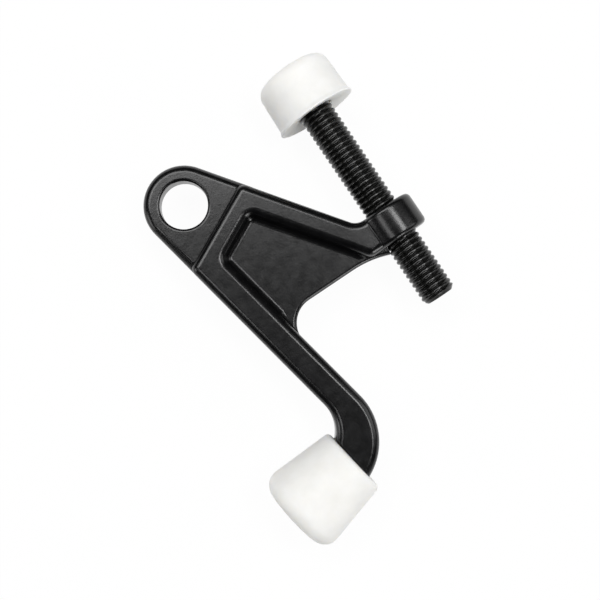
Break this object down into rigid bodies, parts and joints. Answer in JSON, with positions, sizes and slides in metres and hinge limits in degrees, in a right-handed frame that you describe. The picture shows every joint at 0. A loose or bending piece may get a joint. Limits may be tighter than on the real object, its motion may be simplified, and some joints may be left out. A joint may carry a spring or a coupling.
{
  "type": "hinge pin door stop",
  "caption": "Black cast door stop with an eye for a hinge pin, a bent leg with a white rubber tip, and an adjusting screw with a white rubber bumper.",
  "frame": {"origin": "centre of the hinge pin eye, at mid-thickness of the casting", "axes": "+Z along the hinge pin, +Y along the adjusting screw towards its bumper, +X from the eye towards the screw"},
  "size_m": [0.0655, 0.0931, 0.0202],
  "materials": {
    "casting": "semi-gloss black coat on die-cast metal",
    "screw": "black oxide on a rolled thread",
    "white_rubber": "matt white moulded rubber"
  },
  "bodies": {
    "stop": {"stop_body": "casting", "leg_tip": "white_rubber"},
    "bumper": {"door_bumper": "white_rubber"},
    "screw": {"adjusting_screw": "screw"}
  },
  "joints": [
    {"name": "bumper_travel", "type": "slide", "parent": "stop", "child": "bumper", "axis": [0, 1, 0], "range_m": [-0.0213, 0.0151]},
    {"name": "screw_turn", "type": "hinge", "parent": "bumper", "child": "screw", "pos_m": [0.03645, 0, 0], "axis": [0, 1, 0], "range_deg": [-6120, 4320]}
  ],
  "couplings": [
    {"joint": "bumper_travel", "follows": "screw_turn", "m_per_rad": 0.00019894}
  ]
}
